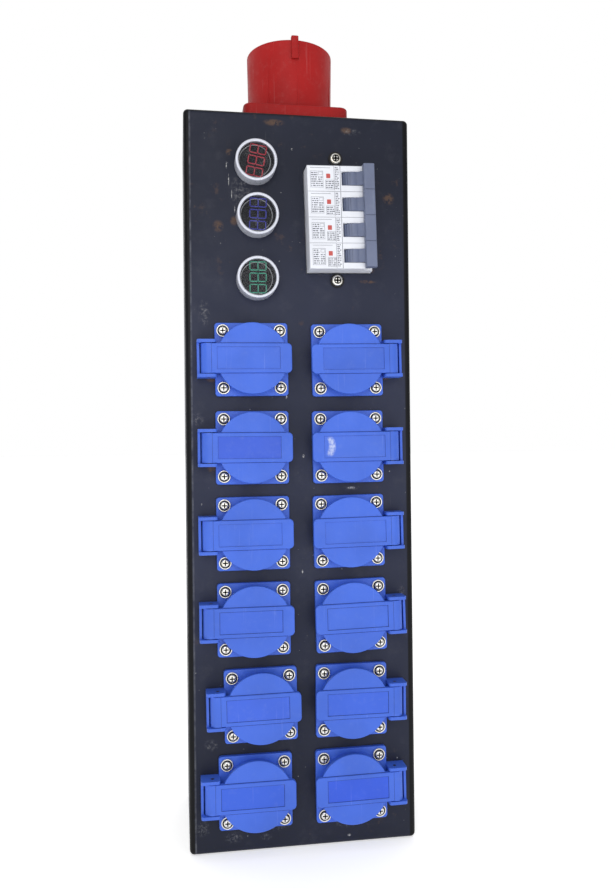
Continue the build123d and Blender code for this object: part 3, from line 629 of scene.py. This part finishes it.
def add_screw_marks(name, node, head_r, head_h, face_ring=None):
    """Dark marks on each screw head of a node: painted shade in the crevice round the head and in its cross
    recess, and a dark ring on its face when face_ring is given.
    """
    bm = bmesh.new()
    for low, high in islands(node):
        known = len(bm.verts)
        inner, outer = head_r * 0.94, head_r * 1.25
        foot = -0.97 * head_h
        add_lathe(bm, [(inner, -0.3 * head_h), (outer, -0.55 * head_h), (outer, foot), (inner, foot)], 32)
        arm, slot = head_r * 0.64, head_r * 0.16
        for x, y in ((arm, slot), (slot, arm)):
            add_bar(bm, -x, x, -y, y, -0.5 * head_h, 0.02)
        if face_ring:
            r0, r1 = face_ring
            add_lathe(bm, [(r0, -0.05), (r0, 0.02), (r1, 0.02), (r1, -0.05)], 32)
        bm.verts.ensure_lookup_table()
        centre = ((low.x + high.x) / 2 / MM, (low.z + high.z) / 2 / MM, -low.y / MM)
        bmesh.ops.translate(bm, verts=bm.verts[known:], vec=centre)
    add_mesh(name, bm, PANEL_AXES, "root", SCREW_SHADE, 40)


add_screw_marks("screw_shade", "socket_screws", 2.75, 1.9)
add_screw_marks("rail_screw_shade", "din_rail_screws", 3.9, 2.5, (1.75, 2.6))


def add_springs():
    """Closing springs: coil, and the leg that rests on the socket's collar."""
    steps = 16
    for index, (name, place) in enumerate(sorted(SOCKETS.items())):
        points = []
        for i in range(SPRING_TURNS * steps + 1):
            a = 2 * math.pi * i / steps - math.pi / 2
            y = -SPRING_HALF_WIDTH + 2 * SPRING_HALF_WIDTH * i / (SPRING_TURNS * steps)
            points.append(Vector((PIN_U + SPRING_R * math.cos(a), y, PIN_H + SPRING_R * math.sin(a))))
        leg_end = Vector((COLLAR_R + 0.4, -SPRING_HALF_WIDTH, PIN_H - SPRING_R))
        points = [leg_end, *points]
        curve = bpy.data.curves.new(f"lid_spring_{name}", "CURVE")
        curve.dimensions = "3D"
        curve.bevel_depth = SPRING_WIRE_R * MM
        curve.bevel_resolution = 3
        spline = curve.splines.new("POLY")
        spline.points.add(len(points) - 1)
        for point, source in zip(spline.points, points):
            point.co = (*(place @ (source * MM)), 1.0)
        spring = bpy.data.objects.new(f"lid_spring_{name}", curve)
        bpy.context.scene.collection.objects.link(spring)
        curve.materials.append(ZINC)
        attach(spring, "root")
        if index == 0:
            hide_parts("lid_springs")


add_springs()


# ---------------------------------------------------------------- camera, light, floor
LENS_MM = 32.86
FLOOR_HALF_M, FLOOR_DROP_M, FLOOR_GLOW = 40.0, 0.0002, 0.5
CAMERA_FROM_CORNER = Vector((-4.2, -556.6, 274.6)) * MM  # from the panel's lower left corner
YAW, PITCH, ROLL = -8.94, -0.39, -0.56


def add_camera():
    shell_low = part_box("front_shell")[0]
    corner = Vector((shell_low.x, shell_low.y, cad_low[2]))
    camera = bpy.data.objects.new("camera", bpy.data.cameras.new("camera"))
    bpy.context.scene.collection.objects.link(camera)
    camera.data.lens = LENS_MM
    camera.location = corner + CAMERA_FROM_CORNER
    turn = Vector((math.radians(PITCH), math.radians(YAW), math.radians(ROLL)))
    swing = Matrix.Rotation(turn.length, 3, turn.normalized())
    to_view = swing @ Matrix(((1, 0, 0), (0, 0, -1), (0, 1, 0)))
    flip = Matrix(((1, 0, 0), (0, -1, 0), (0, 0, -1)))
    camera.rotation_mode = "QUATERNION"
    camera.rotation_quaternion = (flip @ to_view).transposed().to_quaternion()
    camera.data.clip_start = 0.01
    bpy.context.scene.camera = camera


def add_light(name, location, target, size, power):
    light = bpy.data.lights.new(name, "AREA")
    light.shape = "RECTANGLE"
    light.size, light.size_y = size
    light.energy = power
    lamp = bpy.data.objects.new(name, light)
    bpy.context.scene.collection.objects.link(lamp)
    lamp.location = location
    lamp.rotation_mode = "QUATERNION"
    lamp.rotation_quaternion = (Vector(target) - Vector(location)).to_track_quat("-Z", "Y")


def add_stage():
    bm = bmesh.new()
    bmesh.ops.create_grid(bm, x_segments=1, y_segments=1, size=FLOOR_HALF_M)
    mesh = bpy.data.meshes.new("floor")
    bm.to_mesh(mesh)
    bm.free()
    floor = bpy.data.objects.new("floor", mesh)
    bpy.context.scene.collection.objects.link(floor)
    floor.location.z = cad_low[2] - FLOOR_DROP_M
    s = Shader("pale_floor")
    s.colour(s.mix(s.ramp(s.noise(3, 2), 0.3, 0.7), (0.9, 0.9, 0.9), (0.94, 0.94, 0.94)))
    s.bsdf.inputs["Roughness"].default_value = 0.6
    s.bsdf.inputs["Emission Color"].default_value = (1.0, 1.0, 1.0, 1.0)
    s.bsdf.inputs["Emission Strength"].default_value = FLOOR_GLOW
    mesh.materials.append(s.material)


def add_world():
    """A white room: darker on the side that the panel faces, brighter overhead."""
    world = bpy.data.worlds.new("studio")
    world.use_nodes = True
    tree = world.node_tree
    split = tree.nodes.new("ShaderNodeSeparateXYZ")
    tree.links.new(tree.nodes.new("ShaderNodeTexCoord").outputs["Generated"], split.inputs[0])
    parts = []
    for axis, limits in (("Y", (-0.15, 0.75, 0.5, 1.0)), ("Z", (0.5, 0.95, 0.0, 0.8))):
        fade = tree.nodes.new("ShaderNodeMapRange")
        fade.interpolation_type = "SMOOTHSTEP"
        for socket, value in zip(("From Min", "From Max", "To Min", "To Max"), limits):
            fade.inputs[socket].default_value = value
        tree.links.new(split.outputs[axis], fade.inputs["Value"])
        parts.append(fade.outputs["Result"])
    brighter = tree.nodes.new("ShaderNodeMath")
    brighter.operation = "MAXIMUM"
    for part, socket in zip(parts, brighter.inputs):
        tree.links.new(part, socket)
    background = tree.nodes["Background"]
    background.inputs["Color"].default_value = (1.0, 1.0, 1.0, 1.0)
    tree.links.new(brighter.outputs["Value"], background.inputs["Strength"])
    bpy.context.scene.world = world


add_camera()
add_stage()
add_world()
add_light("key", (-0.4, -1.6, 0.85), (0, 0, 0.25), (0.8, 0.8), 6.0)
add_light("fill", (0.35, -1.6, 0.35), (0, 0, 0.2), (0.8, 1.0), 2.6)
bpy.context.scene.view_settings.view_transform = "Standard"
